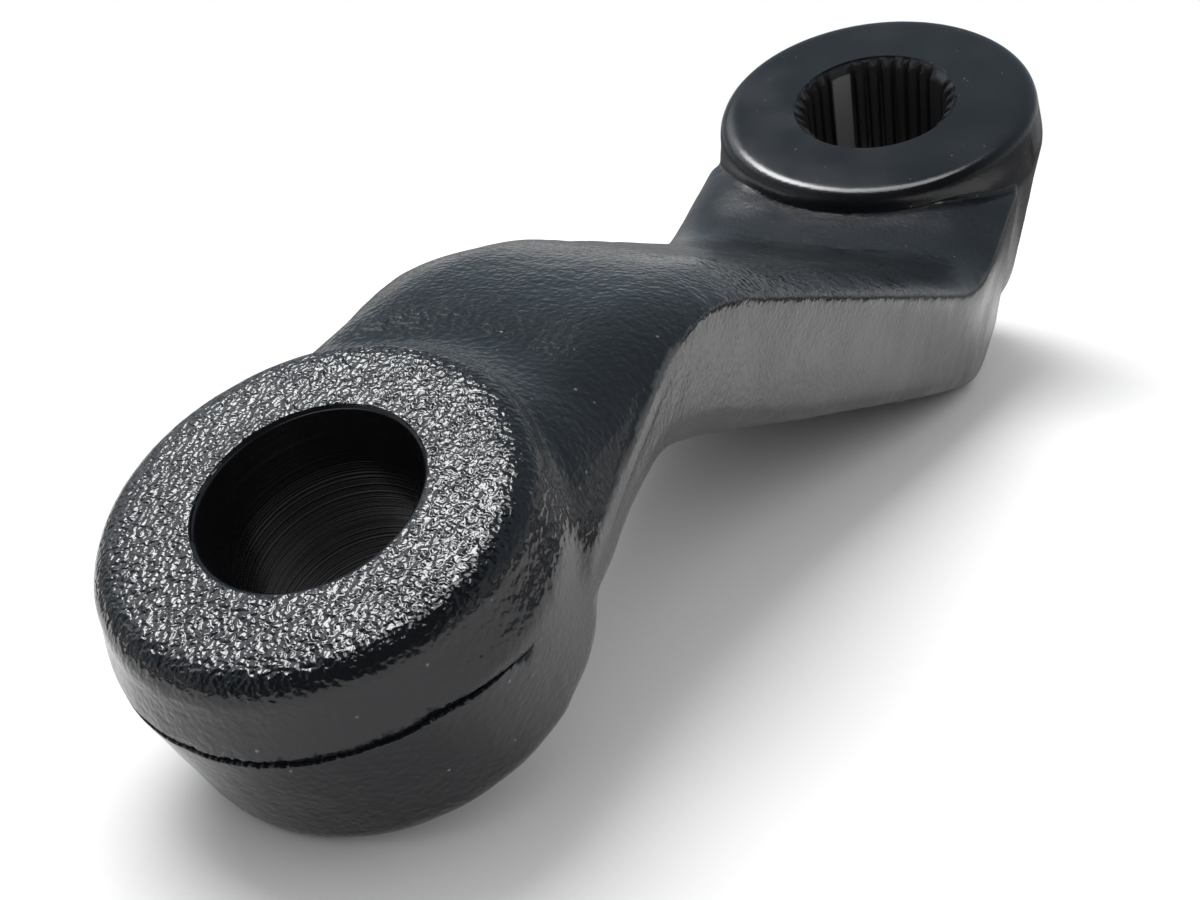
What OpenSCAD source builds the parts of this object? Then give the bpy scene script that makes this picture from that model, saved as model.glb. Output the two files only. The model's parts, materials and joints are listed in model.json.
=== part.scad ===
// Drop pitman arm: a one-piece steel forging that turns the steering box's
// output shaft into a sideways pull on the drag link. The big hub slides on the
// serrated shaft, the small eye takes the tapered stud of the drag link, and an
// S-bent web joins the two. It lies on a bench with the bend beside its hub and
// the eye's tip touching; the origin is the middle of the serrated bore.

/* [Layout] */
// distance between the two bore axes
arm_length = 178; // [150:1:220]
// eye's top face above the hub's top face
arm_drop = 77; // [66:1:84]

/* [Hub] */
// width over the parting line
hub_d = 68.5; // [65:0.5:76]
// height along the bore
hub_h = 46; // [44:1:54]
// parting line below the top face
hub_parting = 10; // [8:0.5:12]
// draft of the lower wall
hub_draft = 8; // [5:0.5:9]
// edge rounding
hub_edge_r = 3; // [2:0.25:4]

/* [Eye] */
// width over the parting line
eye_d = 46.6; // [44:0.2:54]
// height along the bore
eye_h = 25.5; // [24:0.5:30]
// parting line below the top face
eye_parting = 8; // [7.5:0.5:10]
// draft of the lower wall
eye_draft = 3; // [2:0.5:5]
// edge rounding
eye_edge_r = 3.2; // [2:0.2:4]

/* [Web] */
// slope of the ramp against the boss faces
ramp_angle = 40.5; // [38:0.5:44]
// thickness square to the ramp
web_t = 23.5; // [21:0.5:27]
// part of that thickness above the parting line
web_upper = 8.5; // [7:0.5:12]
// width where it leaves the hub
web_hub_w = 65.5; // [58:0.5:66]
// width at the narrowest place, behind the eye
web_neck_w = 40.5; // [36:0.5:42]
// draft of the sides
web_draft = 5; // [3:0.5:7]
// width of the rounded shoulder on the ramp, and of the crown behind the eye
shoulder_r = 11; // [6:0.5:13]
neck_r = 9.5; // [6:0.5:12]
// underside rounding on the ramp and behind the eye
keel_r = 4; // [3:0.5:6]
neck_keel_r = 9; // [6:0.5:10]

/* [Serrated bore] */
// width across the bottoms of the grooves
serration_d = 32; // [30:0.25:34]
// width across the tips of the teeth
tip_d = 29.5; // [28:0.25:31]
// pitches around the bore
serrations = 32; // [24:8:40]
// wide keying teeth, a quarter turn apart, each filling one groove
block_teeth = 4; // [1:1:4]
// mouth chamfer
bore_chamfer = 1; // [0.5:0.25:1.5]

/* [Tapered bore] */
// width at the top face
taper_d = 22; // [18:0.5:24]
// width lost over each unit of depth
taper_rate = 0.125; // [0.1:0.005:0.16]
// straight pilot left below the taper
pilot_h = 5; // [3:0.5:8]
// mouth chamfer
taper_chamfer = 0.6; // [0.3:0.1:1]

/* [Trimmed flash] */
// how far the trimmed land stands out round the eye
land = 0.4; // [0.2:0.1:0.8]
// height of that land, down from the parting line
land_h = 2.4; // [1.5:0.1:3]
// how far the parting line sinks from the eye's tip to the neck
eye_dip = 4; // [2:0.5:5]

/* [Hidden] */
$fn = 96;
eps = 0.01;
steel = [0.13, 0.13, 0.14];

hub_r = hub_d / 2;
eye_r = eye_d / 2;
hub_top = hub_h / 2;
eye_top = hub_top + arm_drop;
hub_low = -hub_h / 2;
eye_low = eye_top - eye_h;
// the short upper walls lean in by this much
hub_lean = 1.2;
eye_lean = 1.5;
// the land is level round the tip and sinks from this angle on, back to the web's land
land_turn = 58;
land_hinge = eye_r * cos(land_turn);
land_tilt = atan(eye_dip / (land_hinge + 8));

slope = tan(ramp_angle);
over = 1 / cos(ramp_angle);
// the parting line crosses half the drop at this place
part_low = hub_top - hub_parting;
part_high = eye_top - eye_parting;
ramp_mid = arm_length * 0.557;
part_mid = (part_low + part_high) / 2;
// the parting line runs nearer to the top on the ramp
ramp_lift = 6;
// levels of the web's top and underside beside the two bosses
web_top_low = hub_top - 6;
web_top_high = eye_top - 5.5;
web_under_low = hub_low + 2;
web_under_high = eye_low + 1;
foot_r = 12;
// concave roots round the bosses
root_rise = 3;
root_r = 8;
// the root round the hub, as a share of the one round the eye
hub_root = 0.5;
neck_x = arm_length * 0.787;
flank_x = 30;
// the web begins and ends on circles buried inside the bosses
hub_start = hub_r - 6.75;
eye_start = eye_r - 4;
hub_tuck = hub_start - 0.4;
eye_tuck = eye_start - 0.2;

// height of a level, a bend, a ramp through (xm, zm), a bend and a level at x
function bent(x, z0, z1, xm, zm, r0, r1) =
    let (x0 = xm - (zm - z0) / slope, x1 = xm + (z1 - zm) / slope,
         t0 = r0 * tan(ramp_angle / 2), t1 = r1 * tan(ramp_angle / 2))
    x < x0 - t0 ? z0
    : x < x0 + t0 * cos(ramp_angle) ? z0 + r0 - sqrt(r0 * r0 - pow(x - x0 + t0, 2))
    : x < x1 - t1 * cos(ramp_angle) ? zm + (x - xm) * slope
    : x < x1 + t1 ? z1 - r1 + sqrt(r1 * r1 - pow(x1 + t1 - x, 2))
    : z1;

function part_z(x) = bent(x, part_low, part_high - eye_dip, ramp_mid, part_mid + ramp_lift, 30, 36);
function top_z(x) = bent(x, web_top_low, web_top_high, ramp_mid,
                         part_mid + web_upper * over, 26, 80);
function under_z(x) = bent(x, web_under_low, web_under_high, ramp_mid,
                           under_mid, foot_r, 40);

// half-width: full beside the hub, eased down to the neck, flared at the eye
function clamp(s) = min(1, max(0, s));
function ease(s) = let (c = clamp(s)) c * c * (3 - 2 * c);
function eased(x) = web_neck_w / 2 + (web_hub_w - web_neck_w) / 4
    * (1 + cos(180 * clamp((x - flank_x) / (neck_x - flank_x))));
function half_w(x) = min(eased(x) + pow(max(0, x - neck_x) / 19, 2),
                         hub_tuck + max(0, x - 4) * 0.6,
                         eye_tuck + max(0, arm_length - 2.5 - x) * 1.1);
function towards_neck(x) = ease((x - ramp_mid) / (neck_x - ramp_mid));
function shoulder(x) = shoulder_r + (neck_r - shoulder_r) * towards_neck(x);
function keel(x) = keel_r + (neck_keel_r - keel_r) * towards_neck(x - 6);
function proud(x) = land * ease((x - neck_x) / 12);
function root(gap, share) = root_rise * share * pow(clamp(1 - gap / (root_r * share)), 2);
function roots(x, y) = root(norm([x, y]) - hub_r + hub_lean, hub_root)
                     + root(norm([x - arm_length, y]) - eye_r + eye_lean, 1);

// steps along the web, closer together at both ends
web_steps = 44;
function along(i) = let (s = i / web_steps) s - 0.08 * sin(360 * s);
// one half of the section: the corner arc, then the flat to the middle
arc_steps = 6;
flat_steps = 5;
half_n = arc_steps + flat_steps;

// plan of the web: ruled between the two buried circles
function plan_x(u, v) = (1 - u) * sqrt(pow(hub_start, 2) - pow(v * hub_tuck, 2))
    + u * (arm_length - sqrt(pow(eye_start, 2) - pow(v * eye_tuck, 2)));

// a point of the upper skin, and the same for the lower one
function upper(u, k, side) =
    let (e = plan_x(u, 1), w = half_w(e), r = min(shoulder(e), w - 1.5),
         fall = min(90, 2 * atan((top_z(e) - part_z(e)) / r)),
         a = fall * max(0, 1 - k / arc_steps),
         y = k <= arc_steps ? w - r + r * sin(a) / sin(fall)
           : (w - r) * (half_n - k) / flat_steps,
         x = plan_x(u, y / w), zp = part_z(x) + 0.2,
         lift = 1 - (1 - cos(a)) / (1 - cos(fall)))
    [x, side * y, zp + (top_z(x) - zp + roots(x, y)) * lift];
function lower(u, k, side) =
    let (e = plan_x(u, 1), w = half_w(e), r = keel(e),
         high = part_z(e) - land_h - 0.2,
         drop = min(r * over, high - under_z(e) - 0.5),
         foot_w = w - max(0, high - under_z(e) - drop) * tan(web_draft),
         a = 90 * (k - 1) / (arc_steps - 1),
         y = k == 0 ? w
           : k <= arc_steps ? foot_w - r * (1 - cos(a))
           : (foot_w - r) * (half_n - k) / flat_steps,
         x = plan_x(u, y / w), zu = under_z(x))
    [x, side * y, k == 0 ? part_z(x) - land_h - 0.2
                  : zu + (k < arc_steps ? drop * (1 - sin(a)) : 0)];
function lip(u, down, side) = let (e = plan_x(u, 1))
    [e, side * (half_w(e) + proud(e)), part_z(e) - down];

// one closed loop of the web: over the top, round the land, back underneath
function loop(u) = [
    lip(u, 0, 1),
    for (k = [0 : half_n]) upper(u, k, 1),
    for (k = [half_n - 1 : -1 : 0]) upper(u, k, -1),
    lip(u, 0, -1),
    lip(u, land_h, -1),
    for (k = [0 : half_n]) lower(u, k, -1),
    for (k = [half_n - 1 : -1 : 0]) lower(u, k, 1),
    lip(u, land_h, 1)
];
half_loop = 2 * half_n + 3;
loop_n = 2 * half_loop;

// rest angle: the bench touches the bend under the hub and the tip of the eye
under_mid = part_mid - (web_t - web_upper) * over;
foot = [ramp_mid - (under_mid - web_under_low) / slope - foot_r * tan(ramp_angle / 2),
        web_under_low + foot_r];
eye_wall = eye_r - (eye_h - eye_parting - eye_edge_r) * tan(eye_draft);
tip = [arm_length + eye_wall - eye_edge_r, eye_low + eye_edge_r];
rest_angle = atan2(tip[1] - foot[1], tip[0] - foot[0])
    + asin((foot_r - eye_edge_r) / norm(tip - foot));

// half profile of a boss: flat face, rounded edge, leaning wall, drafted wall
module boss(r, lean, top, parting, low, edge, lower_draft) {
    up = r - lean - edge;
    down = r - (top - parting - low - edge) * tan(lower_draft) - edge;
    rotate_extrude()
        polygon([
            [0, low],
            for (a = [0 : 15 : 75]) [down + edge * sin(a), low + edge * (1 - cos(a))],
            [down + edge, low + edge],
            [r, top - parting],
            for (a = [90 : -15 : 0]) [up + edge * sin(a), top - edge * (1 - cos(a))],
            [0, top]
        ]);
}

// trimmed land round the eye: level at the tip, sinking on both sides to the web's land
module land_arc(from, sweep) {
    rotate([0, 0, from])
        rotate_extrude(angle = sweep)
            polygon([
                [eye_r - 3, -land_h - 0.3], [eye_r - 0.3, -land_h - 0.3],
                [eye_r + land, -land_h], [eye_r + land, 0],
                [eye_r - 0.3, 0.3], [eye_r - 3, 0.3]
            ]);
}

module eye_land() {
    translate([arm_length, 0, part_high]) {
        land_arc(-land_turn - 1, 2 * land_turn + 2);
        translate([land_hinge, 0, 0])
            rotate([0, -land_tilt, 0])
                translate([-land_hinge, 0, 0])
                    land_arc(land_turn, 360 - 2 * land_turn);
    }
}

module web() {
    polyhedron(
        points = [for (i = [0 : web_steps]) each loop(along(i))],
        faces = [
            for (i = [0 : web_steps - 1], j = [0 : loop_n - 1])
                let (a = i * loop_n + j, b = i * loop_n + (j + 1) % loop_n)
                each [[a, a + loop_n, b], [b, a + loop_n, b + loop_n]],
            for (o = [0, web_steps * loop_n], j = [0 : half_loop - 2])
                let (a = o + j, b = a + 1, d = o + loop_n - 1 - j, c = d - 1)
                each (o == 0 ? [[a, b, d], [b, c, d]] : [[a, d, b], [b, d, c]])
        ]);
}

module serrated_bore() {
    pitch = 360 / serrations;
    root_a = pitch * 0.125;
    tip_a = pitch * 0.235;
    keyed = [for (k = [0 : block_teeth - 1]) serrations * (2 * k + 1) / 8];
    translate([0, 0, hub_low - 1])
        cylinder(d = tip_d, h = hub_h + 2);
    for (i = [0 : serrations - 1])
        if (len(search(i, keyed)) == 0)
            rotate([0, 0, i * pitch])
                translate([0, 0, hub_low - 1])
                    linear_extrude(hub_h + 2)
                        polygon([
                            [tip_d / 2 * cos(tip_a) - 1, -tip_d / 2 * sin(tip_a) - 0.24],
                            [serration_d / 2, -serration_d / 2 * sin(root_a)],
                            [serration_d / 2, serration_d / 2 * sin(root_a)],
                            [tip_d / 2 * cos(tip_a) - 1, tip_d / 2 * sin(tip_a) + 0.24]
                        ]);
    for (m = [0, 1])
        mirror([0, 0, m])
            translate([0, 0, hub_top - bore_chamfer - (serration_d - tip_d) / 2])
                cylinder(d1 = tip_d - eps, d2 = serration_d + 2 * bore_chamfer + 2 * eps,
                         h = bore_chamfer + (serration_d - tip_d) / 2 + eps);
}

module tapered_bore() {
    pilot_d = taper_d - (eye_h - pilot_h) * taper_rate;
    translate([arm_length, 0, eye_low - 1])
        cylinder(d = pilot_d, h = pilot_h + 1 + eps);
    translate([arm_length, 0, eye_low + pilot_h])
        cylinder(d1 = pilot_d, d2 = taper_d + taper_rate, h = eye_h - pilot_h + 1);
    translate([arm_length, 0, eye_top - taper_chamfer])
        cylinder(d1 = taper_d - eps, d2 = taper_d + 2 * taper_chamfer + 2 * eps,
                 h = taper_chamfer + eps);
}

module pitman_arm() {
    color(steel)
        rotate([0, rest_angle, 0])
            difference() {
                union() {
                    web();
                    boss(hub_r, hub_lean, hub_top, hub_parting, hub_low, hub_edge_r, hub_draft);
                    translate([arm_length, 0, 0])
                        boss(eye_r, eye_lean, eye_top, eye_parting, eye_low, eye_edge_r, eye_draft);
                    eye_land();
                }
                serrated_bore();
                tapered_bore();
            }
}

pitman_arm();
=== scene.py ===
import json
import math

import bmesh
import bpy
from mathutils import Matrix, Vector, kdtree, noise


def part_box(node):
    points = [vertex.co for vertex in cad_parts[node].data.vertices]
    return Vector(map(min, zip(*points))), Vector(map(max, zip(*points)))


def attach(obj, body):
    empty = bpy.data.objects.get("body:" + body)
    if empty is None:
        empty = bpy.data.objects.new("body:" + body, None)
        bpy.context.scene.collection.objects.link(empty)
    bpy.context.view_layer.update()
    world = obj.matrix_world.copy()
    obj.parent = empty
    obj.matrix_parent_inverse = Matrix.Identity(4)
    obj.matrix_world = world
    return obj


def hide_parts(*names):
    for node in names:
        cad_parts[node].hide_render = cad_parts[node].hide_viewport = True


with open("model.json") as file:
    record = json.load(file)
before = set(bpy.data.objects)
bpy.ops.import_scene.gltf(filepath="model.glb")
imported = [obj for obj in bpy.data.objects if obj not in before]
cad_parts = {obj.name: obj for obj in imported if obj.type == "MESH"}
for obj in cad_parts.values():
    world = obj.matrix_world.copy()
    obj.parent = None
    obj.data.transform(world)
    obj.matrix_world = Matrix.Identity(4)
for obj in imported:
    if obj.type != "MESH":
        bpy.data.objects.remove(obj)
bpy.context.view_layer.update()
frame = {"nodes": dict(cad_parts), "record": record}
scene = bpy.context.scene
scene.view_settings.view_transform = "Standard"

# the bores lean on the bench, so the forging is worked upright and laid down at the end
mounts = {m["name"]: m for m in frame["record"]["mounts"]}
boreAxis = Vector(mounts["shaft_bore"]["axis"]).normalized()
leanAngle = math.atan2(boreAxis.x, boreAxis.z)
layDown = Matrix.Rotation(leanAngle, 4, "Y")
standUp = layDown.inverted()
eyePoint = standUp @ Vector(mounts["stud_bore"]["pos_m"])
hubPoint = Vector((0, 0, 0))
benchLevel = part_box("pitman_arm")[0].z
print("frame loaded, bores lean", round(math.degrees(leanAngle), 1), "degrees")


def newObject(name, bm):
    mesh = bpy.data.meshes.new(name)
    bm.to_mesh(mesh)
    bm.free()
    thing = bpy.data.objects.new(name, mesh)
    scene.collection.objects.link(thing)
    return thing


def discard(thing):
    mesh = thing.data
    bpy.data.objects.remove(thing)
    bpy.data.meshes.remove(mesh)


def settle(thing):  # turns an object's modifiers into plain mesh
    graph = bpy.context.evaluated_depsgraph_get()
    mesh = bpy.data.meshes.new_from_object(thing.evaluated_get(graph))
    thing.modifiers.clear()
    old = thing.data
    thing.data = mesh
    bpy.data.meshes.remove(old)


def combine(thing, other, how):  # boolean, then the tool object goes
    mod = thing.modifiers.new(how, "BOOLEAN")
    mod.operation = how
    mod.solver = "MANIFOLD"
    mod.object = other
    settle(thing)
    discard(other)


# blank: a copy of the solid with its bores plugged, so that one skin can be drawn over it
blank = dict(
    weld=1e-6,  # points of the solid nearer than this are one
    hubNear=0.03, eyeNear=0.015,  # radii within which each boss's height is read
    hubPlug=0.0176, eyePlug=0.0125, barSides=128,  # plugs, wider than the chamfers
    voxel=0.00058,  # skin cell
    calm=5, rootCalm=60, pull=0.5,  # smoothing passes all over and in the roots, and their strength
    triangles=140000,  # what the skin is thinned to
    sharpAngle=38,  # degrees past which an edge is shaded sharp
)


def uprightMesh():
    bm = bmesh.new()
    bm.from_mesh(frame["nodes"]["pitman_arm"].data)
    bmesh.ops.remove_doubles(bm, verts=bm.verts, dist=blank["weld"])
    bmesh.ops.transform(bm, matrix=standUp, verts=bm.verts)
    return bm


def roundBar(name, centre, radius, low, high):
    bm = bmesh.new()
    place = Matrix.Translation(Vector((centre.x, centre.y, (low + high) / 2)))
    bmesh.ops.create_cone(bm, cap_ends=True, segments=blank["barSides"], radius1=radius, radius2=radius,
                          depth=high - low, matrix=place)
    return newObject(name, bm)


def bossHeights(centre, near):
    heights = [v.co.z for v in forging.data.vertices if (v.co.xy - centre.xy).length < near]
    return min(heights), max(heights)


forging = newObject("forging", uprightMesh())
hubLow, hubTop = bossHeights(hubPoint, blank["hubNear"])
eyeLow, eyeTop = bossHeights(eyePoint, blank["eyeNear"])
combine(forging, roundBar("hubPlug", hubPoint, blank["hubPlug"], hubLow, hubTop), "UNION")
combine(forging, roundBar("eyePlug", eyePoint, blank["eyePlug"], eyeLow, eyeTop), "UNION")

skin = forging.modifiers.new("skin", "REMESH")
skin.mode = "VOXEL"
skin.voxel_size = blank["voxel"]
settle(forging)
print("skin drawn,", len(forging.data.polygons), "faces")

# trimmed land beside the neck: which of the solid's edges bound it, and how crisp they stay in the skin
land = dict(
    start=0.125, inside=0.0262, angle=22,  # edges past this x, outside the eye, sharper than these degrees
    spacing=0.0004,  # between the points along an edge
    sharp=0.0005, fade=2, least=0.12,  # crisp width, fade in such widths, smoothing left on the edge
    tall=0.0024, spare=1.12,  # height of the land, and the share of it that is coloured
)


def landEdges():  # points along the land's upper and lower edges
    bm = uprightMesh()
    bm.normal_update()
    points = {True: [], False: []}
    for e in bm.edges:
        low, high = (v.co for v in e.verts)
        middle = (low + high) / 2
        outside = (middle.xy - eyePoint.xy).length > land["inside"] and middle.x > land["start"]
        if outside and e.is_convex and e.calc_face_angle(0) > math.radians(land["angle"]):
            slopes = sorted((f.normal.z for f in e.link_faces), key=abs)
            count = max(1, int((high - low).length / land["spacing"]))
            points[slopes[-1] > 0] += [low.lerp(high, i / count) for i in range(count + 1)]
    bm.free()
    trees = []
    for upper in (True, False):
        tree = kdtree.KDTree(len(points[upper]))
        for i, point in enumerate(points[upper]):
            tree.insert(point, i)
        tree.balance()
        trees.append(tree)
    print("land edge points", len(points[True]), len(points[False]))
    return trees


landTrees = landEdges()


def landGaps(point):
    return [tree.find(point)[2] for tree in landTrees]


# fillets: the root behind the eye is drawn out, the hub's foot tightened and the shelf before it swollen
fillet = dict(
    eyeRadius=0.0238, eyeReach=0.006, eyeAhead=0.002, below=0.0035,  # ring behind the eye, under its face
    hubRadius=0.0333, hubReach=0.004, hubDrop=0.0015,  # corner at the hub's foot
    hubFront=0.004, hubWall=0.0347, hubBelow=0.0042,  # where it starts, and the wall that it leaves alone
    crown=0.0026, crownFlat=0.038, crownEnd=0.064,  # swell of the shelf: height, full until, gone at
    crownHalf=0.036, crownSteep=1.5,  # its half width, and how steeply it falls at the sides
)


def rootWeight(co):
    eyeGap = abs((co.xy - eyePoint.xy).length - fillet["eyeRadius"]) / fillet["eyeReach"]
    behindEye = co.x < eyePoint.x + fillet["eyeAhead"] and co.z < eyeTop - fillet["below"]
    return max(0.0, 1 - eyeGap) if behindEye else 0


def smooth(share):
    share = min(1.0, max(0.0, share))
    return share * share * (3 - 2 * share)


def shelfRise(co):
    gap = (co.xy.length - fillet["hubRadius"]) / fillet["hubReach"]
    onWall = co.xy.length < fillet["hubWall"] and co.z > hubTop - fillet["hubBelow"]
    if co.x < fillet["hubFront"] or gap < 0 or co.z < 0 or onWall:
        return 0
    corner = fillet["hubDrop"] * max(0.0, 1 - gap) ** 2
    along = smooth((fillet["crownEnd"] - co.x) / (fillet["crownEnd"] - fillet["crownFlat"]))
    steep = fillet["crownSteep"]
    return fillet["crown"] * along * smooth(steep - steep * abs(co.y) / fillet["crownHalf"]) - corner


roots = forging.vertex_groups.new(name="roots")
loose = forging.vertex_groups.new(name="loose")
for v in forging.data.vertices:
    weight = rootWeight(v.co)
    away = min(1.0, max(0.0, (min(landGaps(v.co)) - land["sharp"]) / land["sharp"] / land["fade"]))
    if weight * away > 0:
        roots.add([v.index], weight * away, "REPLACE")
    loose.add([v.index], max(land["least"], away), "REPLACE")
    v.co.z += shelfRise(v.co)
for name, passes in (("roots", blank["rootCalm"]), ("loose", blank["calm"])):
    mod = forging.modifiers.new(name, "SMOOTH")
    mod.factor = blank["pull"]
    mod.iterations = passes
    mod.vertex_group = name
settle(forging)
forging.vertex_groups.clear()

# hammered waviness of the forging, none on the hub's faced ends
waviness = dict(
    lump=0.009, rise=0.00012, ripple=0.0032, rippleRise=0.00005,  # width and height of lumps and ripples
    faceRadius=0.034, faceFade=0.003,  # the hub's ends, and the depth over which the waviness returns
)


def facing(co):  # 0 on the hub's ends, 1 a little away from them
    hubDown = min(abs(co.z - hubTop), abs(co.z - hubLow)) if co.xy.length < waviness["faceRadius"] else 1
    return min(1.0, hubDown / waviness["faceFade"])


outward = [v.normal.copy() for v in forging.data.vertices]  # read before any vertex moves
for v, normal in zip(forging.data.vertices, outward):
    lump = noise.noise(v.co / waviness["lump"]) * waviness["rise"]
    ripple = noise.noise(v.co / waviness["ripple"]) * waviness["rippleRise"]
    v.co += normal * (lump + ripple) * facing(v.co)
thin = forging.modifiers.new("thin", "DECIMATE")
thin.ratio = blank["triangles"] / (2 * len(forging.data.polygons))
settle(forging)
print("skin calmed, hammered and thinned to", len(forging.data.polygons), "faces")

# serrated bore: what is left of a bar when the solid is taken away
serratedBore = dict(mouth=0.01695, reach=0.003)
core = roundBar("serratedCore", hubPoint, serratedBore["mouth"],
                hubLow - serratedBore["reach"], hubTop + serratedBore["reach"])
combine(core, newObject("solidCopy", uprightMesh()), "DIFFERENCE")
combine(forging, core, "DIFFERENCE")

# tapered bore: a turned profile with the reamer's rings in it
taperedBore = dict(
    mouth=0.011, rate=0.0625, pilot=0.005,  # radius at the face, radius lost over depth, straight end
    chamfer=0.0003, reach=0.002, step=0.00028, turns=128, weld=1e-7,
    ring=0.00005, fine=0.00065, coarse=0.0022, coarseShare=0.6,  # depth of the rings and their spacings
)


def boreRadius(down):
    deepest = eyeTop - eyeLow - taperedBore["pilot"]
    taper = taperedBore["mouth"] - taperedBore["rate"] * min(max(down, 0), deepest)
    flare = max(0.0, taperedBore["chamfer"] - down)
    fine = noise.noise(Vector((down / taperedBore["fine"], 0, 3)))
    coarse = noise.noise(Vector((down / taperedBore["coarse"], 5, 0)))
    cut = fine + taperedBore["coarseShare"] * coarse
    return taper + flare + (taperedBore["ring"] * cut if down > taperedBore["chamfer"] else 0)


bm = bmesh.new()
depth = eyeTop - eyeLow + 2 * taperedBore["reach"]
count = int(depth / taperedBore["step"])
downs = [-taperedBore["reach"] + depth * i / count for i in range(count + 1)]
chain = [bm.verts.new((eyePoint.x, 0, eyeTop - downs[0]))]
chain += [bm.verts.new((eyePoint.x + boreRadius(d), 0, eyeTop - d)) for d in downs]
chain += [bm.verts.new((eyePoint.x, 0, eyeTop - downs[-1]))]
edges = [bm.edges.new(pair) for pair in zip(chain, chain[1:])]
bmesh.ops.spin(bm, geom=chain + edges, cent=(eyePoint.x, 0, 0), axis=(0, 0, 1),
               angle=math.tau, steps=taperedBore["turns"], use_merge=True)
bmesh.ops.remove_doubles(bm, verts=bm.verts, dist=taperedBore["weld"])
bmesh.ops.recalc_face_normals(bm, faces=bm.faces)
combine(forging, newObject("reamer", bm), "DIFFERENCE")
print("bores cut")

# flash line: a torn groove above the trimmed land, level round the tip and sinking to the neck
flashLine = dict(
    radius=0.0236, down=0.0080, tall=0.0009, deep=0.0008,  # place and section
    start=-118, end=80, steps=520,  # degrees round the eye from its tip
    level=58, sink=0.2,  # degrees it stays level for, and fall beyond that
    runOut=0.35, least=0.04,  # radians over which its ends thin out, and the share left there
    wander=0.00022, wanderRate=6,  # drift up and down, and how often
    torn=0.55, tearRate=45, fineRate=130, fineShare=0.6, acrossRate=4000,  # raggedness of its two lips
)
bm = bmesh.new()
bmesh.ops.create_circle(bm, cap_ends=True, segments=4, radius=math.sqrt(0.5))
bmesh.ops.rotate(bm, verts=bm.verts, matrix=Matrix.Rotation(math.pi / 4, 3, "Z"))
bmesh.ops.scale(bm, vec=(2 * flashLine["deep"], flashLine["tall"], 1), verts=bm.verts)
bmesh.ops.rotate(bm, verts=bm.verts, matrix=Matrix.Rotation(math.pi / 2, 3, "X"))
bmesh.ops.translate(bm, verts=bm.verts, vec=(flashLine["radius"], 0, 0))
flashStart, flashEnd = math.radians(flashLine["start"]), math.radians(flashLine["end"])
bmesh.ops.rotate(bm, verts=bm.verts, matrix=Matrix.Rotation(flashStart, 3, "Z"))
bmesh.ops.spin(bm, geom=bm.faces[:] + bm.edges[:] + bm.verts[:], cent=(0, 0, 0), axis=(0, 0, 1),
               angle=flashEnd - flashStart, steps=flashLine["steps"])
hinge = flashLine["radius"] * math.cos(math.radians(flashLine["level"]))
for v in bm.verts:
    turn = math.atan2(v.co.y, v.co.x)
    ends = ((flashEnd - turn) / flashLine["runOut"], (turn - flashStart) / flashLine["runOut"])
    fade = max(flashLine["least"], min(1, *ends))
    wander = noise.noise(Vector((turn * flashLine["wanderRate"], 0, 1))) * flashLine["wander"]
    across = v.co.z * flashLine["acrossRate"]
    tear = noise.noise(Vector((turn * flashLine["tearRate"], across, 7)))
    tear += flashLine["fineShare"] * noise.noise(Vector((turn * flashLine["fineRate"], across, 2)))
    sink = max(0.0, hinge - v.co.x) * flashLine["sink"]
    v.co.z = v.co.z * fade * (1 + flashLine["torn"] * tear) + wander - sink
bmesh.ops.recalc_face_normals(bm, faces=bm.faces)
bmesh.ops.translate(bm, verts=bm.verts, vec=(eyePoint.x, 0, eyeTop - flashLine["down"]))
combine(forging, newObject("tear", bm), "DIFFERENCE")
triangles = sum(len(p.vertices) - 2 for p in forging.data.polygons)
print("flash line torn,", triangles, "triangles")


def nodeTree(material):
    material.use_nodes = True
    tree = material.node_tree
    return tree, tree.nodes["Principled BSDF"]


def addNode(tree, kind, links=None, **values):
    node = tree.nodes.new(kind)
    for key, value in values.items():
        if hasattr(node, key):
            setattr(node, key, value)
        else:
            node.inputs[key].default_value = value
    for key, source in (links or {}).items():
        tree.links.new(source, node.inputs[key])
    return node


def maths(tree, operation, first, second=None):
    node = tree.nodes.new("ShaderNodeMath")
    node.operation = operation
    for socket, value in zip(node.inputs, (first, second)):
        if isinstance(value, (int, float)):
            socket.default_value = value
        elif value is not None:
            tree.links.new(value, socket)
    return node.outputs[0]


def product(tree, first, *others):
    for other in others:
        first = maths(tree, "MULTIPLY", first, other)
    return first


def total(tree, first, *others):
    for other in others:
        first = maths(tree, "ADD", first, other)
    return first


def between(tree, value, low, high, atLow=0.0, atHigh=1.0):  # eased from one value to another
    node = addNode(tree, "ShaderNodeMapRange", {"Value": value}, interpolation_type="SMOOTHSTEP")
    for name, number in (("From Min", low), ("From Max", high), ("To Min", atLow), ("To Max", atHigh)):
        node.inputs[name].default_value = number
    return node.outputs["Result"]


def blend(tree, share, first, second):  # colours, each a tuple or a socket
    node = addNode(tree, "ShaderNodeMix", {0: share}, data_type="RGBA")
    for socket, value in ((node.inputs[6], first), (node.inputs[7], second)):
        if isinstance(value, tuple):
            socket.default_value = value
        else:
            tree.links.new(value, socket)
    return node.outputs[2]


def newGroup(name, ins, outs):
    tree = bpy.data.node_groups.new(name, "ShaderNodeTree")
    for label, kind in ins:
        tree.interface.new_socket(label, in_out="INPUT", socket_type=kind)
    for label, kind in outs:
        tree.interface.new_socket(label, in_out="OUTPUT", socket_type=kind)
    return tree, tree.nodes.new("NodeGroupInput").outputs, tree.nodes.new("NodeGroupOutput").inputs


vectorKind, floatKind = "NodeSocketVector", "NodeSocketFloat"


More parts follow.
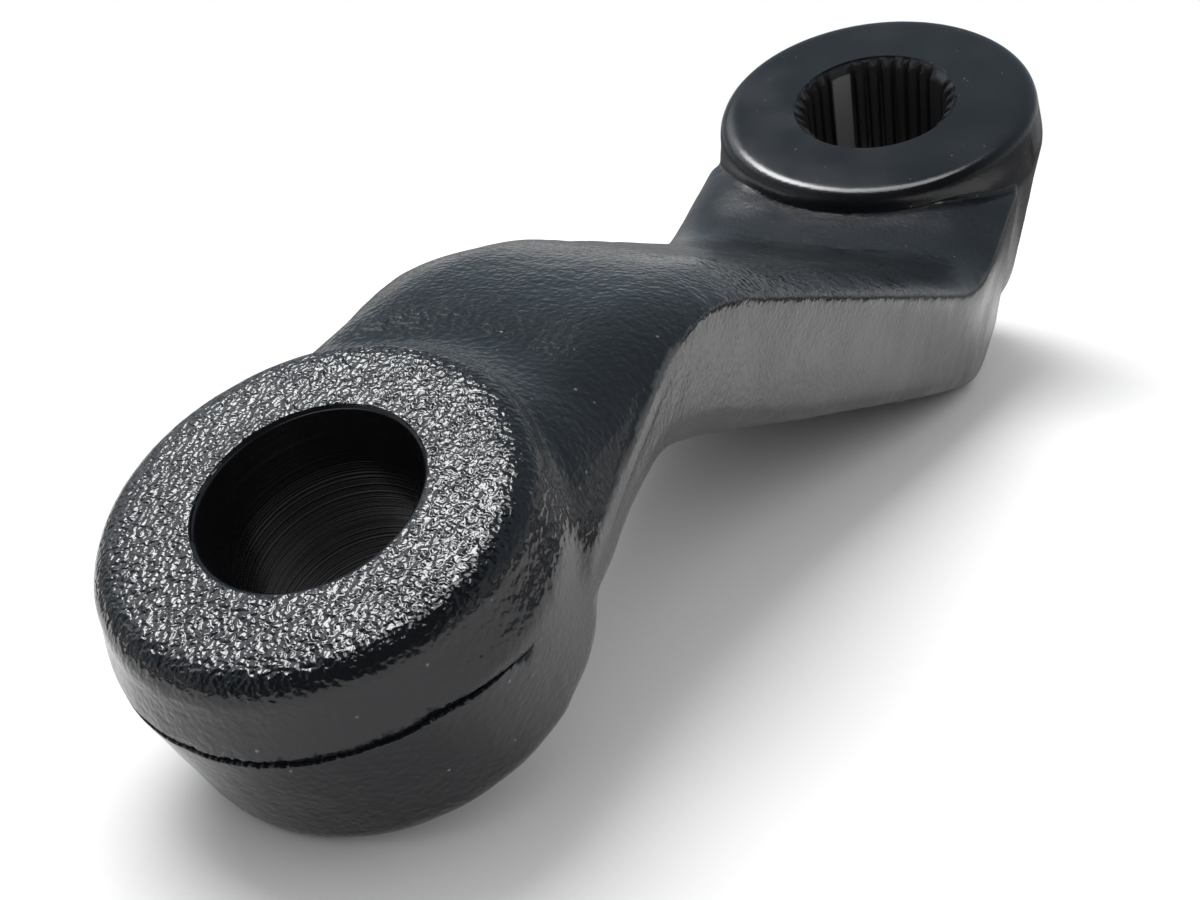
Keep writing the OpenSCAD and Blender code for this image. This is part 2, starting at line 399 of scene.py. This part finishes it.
# dabs: rounded dabs of dried paint, as a height
def dabsGroup():
    tree, ins, outs = newGroup("paintDabs", [("Vector", vectorKind), ("Size", floatKind)],
                               [("Height", floatKind)])
    scale = maths(tree, "DIVIDE", 1.0, ins["Size"])
    dabs = addNode(tree, "ShaderNodeTexNoise", {"Vector": ins["Vector"], "Scale": scale},
                   Detail=0.6, Roughness=0.4, Distortion=0.25)
    tree.links.new(dabs.outputs["Fac"], outs["Height"])
    return tree


# places: distances from the two bore axes and height along them, for masks
def placesGroup():
    tree, ins, outs = newGroup("borePlaces", [("Vector", vectorKind)],
                               [("Upright", vectorKind), ("Hub Radius", floatKind),
                                ("Eye Radius", floatKind), ("Height", floatKind)])
    upright = addNode(tree, "ShaderNodeMapping", {"Vector": ins["Vector"]})
    upright.inputs["Rotation"].default_value = (0, -leanAngle, 0)
    parts = addNode(tree, "ShaderNodeSeparateXYZ", {"Vector": upright.outputs["Vector"]}).outputs
    across = product(tree, parts["Y"], parts["Y"])
    for label, middle in (("Hub Radius", 0.0), ("Eye Radius", eyePoint.x)):
        along = maths(tree, "SUBTRACT", parts["X"], middle)
        square = total(tree, product(tree, along, along), across)
        tree.links.new(maths(tree, "SQRT", square), outs[label])
    tree.links.new(upright.outputs["Vector"], outs["Upright"])
    tree.links.new(parts["Z"], outs["Height"])
    return tree


# specks: sparse bright dust, dots left only in the tops of a wider noise
dust = dict(scale=520.0, dot=(0.05, 0.12), patchScale=260.0, patch=(0.55, 0.61))


def specksGroup():
    tree, ins, outs = newGroup("dustSpecks", [("Vector", vectorKind)], [("Mask", floatKind)])
    dots = addNode(tree, "ShaderNodeTexVoronoi", {"Vector": ins["Vector"]}, Scale=dust["scale"])
    small = between(tree, dots.outputs["Distance"], *dust["dot"], 1.0, 0.0)
    few = addNode(tree, "ShaderNodeTexNoise", {"Vector": ins["Vector"]}, Scale=dust["patchScale"])
    few = between(tree, few.outputs["Fac"], *dust["patch"])
    tree.links.new(product(tree, small, few), outs["Mask"])
    return tree


paintDabs, borePlaces, dustSpecks = dabsGroup(), placesGroup(), specksGroup()

# black paint: thick dabs on the eye's face, calmer elsewhere, duller in the bores and towards the hub
paint = dict(
    dark=(0.0045, 0.0049, 0.0062, 1), pale=(0.0085, 0.0092, 0.0112, 1), dust=(0.22, 0.23, 0.25, 1),
    # the hub's bore colour below is lighter than the eye's bore colour: painted light in the hub's recess
    # the tooth colour below is a painted highlight for two wide teeth of the serrated bore
    bore=(0.006, 0.006, 0.007, 1), hubBore=(0.022, 0.022, 0.024, 1), toothGlint=(0.19, 0.19, 0.195, 1),
    # the trimmed colour below is a painted reflection of the lit bench beside the land
    trimmed=(0.05, 0.051, 0.052, 1), dustShare=0.5, patchScale=90.0, patchDetail=2.0,
    relief=0.00013, dabSize=0.0005, grainSize=0.00085, grainShare=0.6,  # dabs over a wider grain
    wallDabs=(0.2, 0.4), upDabs=(1.0, 1.7), hubDabs=(0.35, 1.0), faceDabs=1.05, faceQuiet=0.8,
    ringSize=0.00028, ringDetail=2.0, ringShare=(1.2, 0.2),  # reamer's marks, fainter at the mouth
    gloss=0.14, glossLess=0.03, glossMore=0.06, refraction=1.45,  # gloss values are roughnesses
    boreGloss=0.22, trimmedGloss=0.3, faceGloss=0.08, hubGloss=0.16, hubDull=0.12,
)
# where finishes change: radii from a bore's axis, depths below a boss's face, then plain shares
zones = dict(
    hubBore=(0.0165, 0.0168), eyeBore=(0.0112, 0.0115), toothTip=(0.0149, 0.0152),
    hubFace=(0.0305, 0.033), hubRound=(0.036, 0.038), eyeFace=(0.0195, 0.0225),
    hubDabs=(0.055, 0.085), hubDull=(0.055, 0.115),
    hubFaceDown=(0.0012, 0.0004), hubRoundDown=(0.005, 0.004), eyeFaceDown=(0.003, 0.001),
    ringsDown=(0.011, 0.006),
    patches=(0.35, 0.65), gloss=(0.3, 0.7), upward=(0.2, 0.6), diagonal=(0.474, 0.482),
)
blackPaint = bpy.data.materials.new("blackPaint")
tree, shader = nodeTree(blackPaint)
place = addNode(tree, "ShaderNodeTexCoord").outputs["Object"]
where = addNode(tree, "ShaderNodeGroup", {"Vector": place}, node_tree=borePlaces).outputs


def within(radius, zone, inner=1.0, outer=0.0):
    return between(tree, where[radius], *zones[zone], inner, outer)


def above(top, zone, deep=0.0, high=1.0):
    lowest, highest = (top - down for down in zones[zone])
    return between(tree, where["Height"], lowest, highest, deep, high)


def dabHeight(size):
    node = addNode(tree, "ShaderNodeGroup", {"Vector": place}, node_tree=paintDabs, Size=size)
    return node.outputs["Height"]


hubBore, eyeBore = within("Hub Radius", "hubBore"), within("Eye Radius", "eyeBore")
inBore = maths(tree, "MAXIMUM", hubBore, eyeBore)
hubFace = product(tree, within("Hub Radius", "hubFace"), above(hubTop, "hubFaceDown"))
hubRound = product(tree, within("Hub Radius", "hubRound"), above(hubTop, "hubRoundDown"))
eyeFace = product(tree, within("Eye Radius", "eyeFace"), above(eyeTop, "eyeFaceDown"))
# mask of the trimmed land: it carries a painted reflection of the lit bench, and its own roughness
sheared = addNode(tree, "ShaderNodeAttribute", attribute_name="trimmed").outputs["Fac"]
patches = addNode(tree, "ShaderNodeTexNoise", {"Vector": place},
                  Scale=paint["patchScale"], Detail=paint["patchDetail"]).outputs["Fac"]

# relief of the paint: dabs and grain, stronger on what faces up, and rings in the tapered bore
normal = addNode(tree, "ShaderNodeNewGeometry").outputs["Normal"]
upward = addNode(tree, "ShaderNodeSeparateXYZ", {"Vector": normal}).outputs["Z"]
upShare = product(tree, between(tree, upward, *zones["upward"], *paint["upDabs"]),
                  within("Hub Radius", "hubDabs", *paint["hubDabs"]))
wallShare = product(tree, between(tree, patches, *zones["patches"], *paint["wallDabs"]), upShare)
dabShare = total(tree, wallShare, product(tree, eyeFace, paint["faceDabs"]))
calm = maths(tree, "MAXIMUM", product(tree, hubFace, paint["faceQuiet"]), inBore)
lively = maths(tree, "SUBTRACT", 1.0, calm)
dabs = product(tree, dabHeight(paint["dabSize"]), dabShare, lively)
grain = product(tree, dabHeight(paint["grainSize"]), paint["grainShare"], lively, upShare)
rings = addNode(tree, "ShaderNodeTexNoise", {"W": where["Height"]}, noise_dimensions="1D",
                Scale=1 / paint["ringSize"], Detail=paint["ringDetail"])
rings = product(tree, rings.outputs["Fac"], eyeBore, above(eyeTop, "ringsDown", *paint["ringShare"]))
relief = addNode(tree, "ShaderNodeBump", {"Height": total(tree, dabs, grain, rings)},
                 Strength=1.0, Distance=paint["relief"])
tree.links.new(relief.outputs["Normal"], shader.inputs["Normal"])

# colour, with dust, and a painted highlight on two wide teeth on one diagonal of the serrated bore: a lighter
# colour standing in for light catching them
specks = addNode(tree, "ShaderNodeGroup", {"Vector": place}, node_tree=dustSpecks).outputs["Mask"]
sides = addNode(tree, "ShaderNodeSeparateXYZ", {"Vector": where["Upright"]}).outputs
skew = maths(tree, "DIVIDE", product(tree, sides["X"], sides["Y"]),
             product(tree, where["Hub Radius"], where["Hub Radius"]))  # largest on that diagonal
# mask of the painted highlight: two wide teeth on one diagonal of the serrated bore
toothGlint = product(tree, between(tree, skew, *zones["diagonal"]), within("Hub Radius", "toothTip"))
colour = blend(tree, patches, paint["dark"], paint["pale"])
# the hub's bore gets painted light, a lighter colour than the eye's bore
for share, finish in ((product(tree, specks, paint["dustShare"]), "dust"), (eyeBore, "bore"),
                      (hubBore, "hubBore"), (toothGlint, "toothGlint"), (sheared, "trimmed")):
    colour = blend(tree, share, colour, paint[finish])
tree.links.new(colour, shader.inputs["Base Color"])

# roughness, patchy, with each finish's own
gloss = between(tree, patches, *zones["gloss"],
                paint["gloss"] - paint["glossLess"], paint["gloss"] + paint["glossMore"])
for share, finish in ((inBore, "boreGloss"), (sheared, "trimmedGloss"), (eyeFace, "faceGloss"),
                      (hubRound, "hubGloss")):
    gloss = total(tree, gloss, product(tree, share, paint[finish] - paint["gloss"]))
farDull = product(tree, within("Hub Radius", "hubDull", paint["hubDull"], 0.0),
                  maths(tree, "SUBTRACT", 1.0, hubFace))
tree.links.new(total(tree, gloss, farDull), shader.inputs["Roughness"])
shader.inputs["IOR"].default_value = paint["refraction"]

# laid down on the bench, with the trimmed land marked for the paint
trimmed = forging.data.attributes.new("trimmed", "FLOAT", "POINT")
for v in forging.data.vertices:
    trimmed.data[v.index].value = float(max(landGaps(v.co)) < land["tall"] * land["spare"])
forging.data.transform(layDown)
forging.data.materials.clear()
forging.data.materials.append(blackPaint)
forging.data.shade_smooth()
forging.data.set_sharp_from_angle(angle=math.radians(blank["sharpAngle"]))
weigh = forging.modifiers.new("faceWeight", "WEIGHTED_NORMAL")  # keeps the flat faces flat
weigh.keep_sharp = True
settle(forging)
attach(forging, "root")
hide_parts("pitman_arm")
print("painted and laid down")

# bench: white, lit near the part and fading to plain white far away
studio = dict(
    size=8.0, colour=(0.86, 0.86, 0.865, 1), roughness=0.7, shine=0.1,
    nearEdge=0.27, farEdge=0.48,  # distances between which it fades
    farGlow=0.17, glossReach=1.7, glossMiddle=0.12,  # far bench as the paint sees it: level, nearness, middle
)
bm = bmesh.new()
bmesh.ops.create_grid(bm, x_segments=1, y_segments=1, size=studio["size"] / 2)
bmesh.ops.translate(bm, verts=bm.verts, vec=(0, 0, benchLevel))
bench = newObject("bench", bm)
benchWhite = bpy.data.materials.new("benchWhite")
tree, shader = nodeTree(benchWhite)
shader.inputs["Base Color"].default_value = studio["colour"]
shader.inputs["Roughness"].default_value = studio["roughness"]
shader.inputs["Specular IOR Level"].default_value = studio["shine"]
onBench = addNode(tree, "ShaderNodeTexCoord").outputs["Object"]
rays = addNode(tree, "ShaderNodeLightPath").outputs
middle = addNode(tree, "ShaderNodeCombineXYZ",
                 {"X": between(tree, rays["Is Glossy Ray"], 0, 1, 0.0, studio["glossMiddle"])})
away = addNode(tree, "ShaderNodeVectorMath", {0: onBench, 1: middle.outputs["Vector"]}, operation="DISTANCE")
reach = product(tree, away.outputs["Value"],
                between(tree, rays["Is Glossy Ray"], 0, 1, 1.0, studio["glossReach"]))
far = between(tree, reach, studio["nearEdge"], studio["farEdge"])
level = between(tree, rays["Is Camera Ray"], 0, 1, studio["farGlow"], 1.0)
glow = addNode(tree, "ShaderNodeEmission", {"Strength": level})
join = addNode(tree, "ShaderNodeMixShader")
for socket, source in zip(join.inputs, (far, shader.outputs[0], glow.outputs[0])):
    tree.links.new(source, socket)
tree.links.new(join.outputs[0], tree.nodes["Material Output"].inputs["Surface"])
bench.data.materials.append(benchWhite)

# room: white for the camera, even fill for diffuse light, and bright and dim sides in the gloss
room = dict(
    white=(1, 1, 1, 1), fill=(0.72, 0.72, 0.72, 1),
    skyLow=(0.62, 0.63, 0.64, 1), skyHigh=(0.30, 0.38, 0.44, 1), skyRise=(0.12, 0.42),
    shade=dict(aim=(0.78, 0.38, 0.50), inner=36, outer=62, level=0.02),  # dim side behind the camera
    window=dict(aim=(0.0, -0.43, 0.90), inner=6, outer=13, level=22.0),
    lamp=dict(aim=(0.10, -0.22, 0.97), inner=5, outer=12, level=10.0),  # smaller, beside the window
    halo=dict(aim=(-0.05, -0.66, 0.75), inner=8, outer=28, level=1.6),  # pale wall below the window
    panel=dict(aim=(0.20, 0.02, 0.98), inner=6, outer=17, level=6.5),  # shows in the hub's rim
)
world = bpy.data.worlds.new("whiteRoom")
scene.world = world
world.use_nodes = True
tree = world.node_tree
direction = addNode(tree, "ShaderNodeTexCoord").outputs["Generated"]


def lobe(spot, around=0.0):  # a spot's level towards its aim, and another level around it
    toward = addNode(tree, "ShaderNodeVectorMath", {0: direction}, operation="DOT_PRODUCT")
    toward.inputs[1].default_value = Vector(spot["aim"]).normalized()
    return between(tree, toward.outputs["Value"], math.cos(math.radians(spot["outer"])),
                   math.cos(math.radians(spot["inner"])), around, spot["level"])


height = addNode(tree, "ShaderNodeSeparateXYZ", {"Vector": direction}).outputs["Z"]
sky = blend(tree, between(tree, height, *room["skyRise"]), room["skyLow"], room["skyHigh"])
sky = addNode(tree, "ShaderNodeVectorMath", {0: sky, "Scale": lobe(room["shade"], 1.0)}, operation="SCALE")
bright = lobe(room["window"])
for name in ("lamp", "halo", "panel"):
    bright = maths(tree, "MAXIMUM", bright, lobe(room[name]))
mirrored = addNode(tree, "ShaderNodeVectorMath", {0: sky.outputs[0], 1: bright}, operation="ADD").outputs[0]
rays = addNode(tree, "ShaderNodeLightPath").outputs
seen = blend(tree, rays["Is Glossy Ray"], room["fill"], mirrored)
seen = blend(tree, rays["Is Camera Ray"], seen, room["white"])
tree.links.new(seen, tree.nodes["Background"].inputs["Color"])

# overhead softbox, kept out of the gloss
overhead = dict(place=(0.02, -0.38, 0.95), aim=(0.1, 0, 0), size=0.7, watts=10.5)
light = bpy.data.lights.new("overhead", "AREA")
light.shape = "SQUARE"
light.size = overhead["size"]
light.energy = overhead["watts"]
softbox = bpy.data.objects.new("overhead", light)
softbox.location = overhead["place"]
aim = Vector(overhead["aim"]) - Vector(overhead["place"])
softbox.rotation_euler = aim.to_track_quat("-Z", "Y").to_euler()
softbox.visible_glossy = False
scene.collection.objects.link(softbox)

# camera where the photograph was taken from
lens = dict(
    place=(0.29271, 0.07198, 0.04059), ahead=(-0.85049, -0.4066, -0.33368), roll=-1.333,
    mm=39, sensor=36, nearest=0.005,
)
camera = bpy.data.objects.new("camera", bpy.data.cameras.new("camera"))
camera.data.lens = lens["mm"]
camera.data.sensor_width = lens["sensor"]
camera.data.clip_start = lens["nearest"]
camera.location = lens["place"]
look = Vector(lens["ahead"]).to_track_quat("-Z", "Y").to_matrix()
camera.rotation_euler = (look @ Matrix.Rotation(math.radians(-lens["roll"]), 3, "Z")).to_euler()
scene.collection.objects.link(camera)
scene.camera = camera
print("bench, room, softbox and camera set")
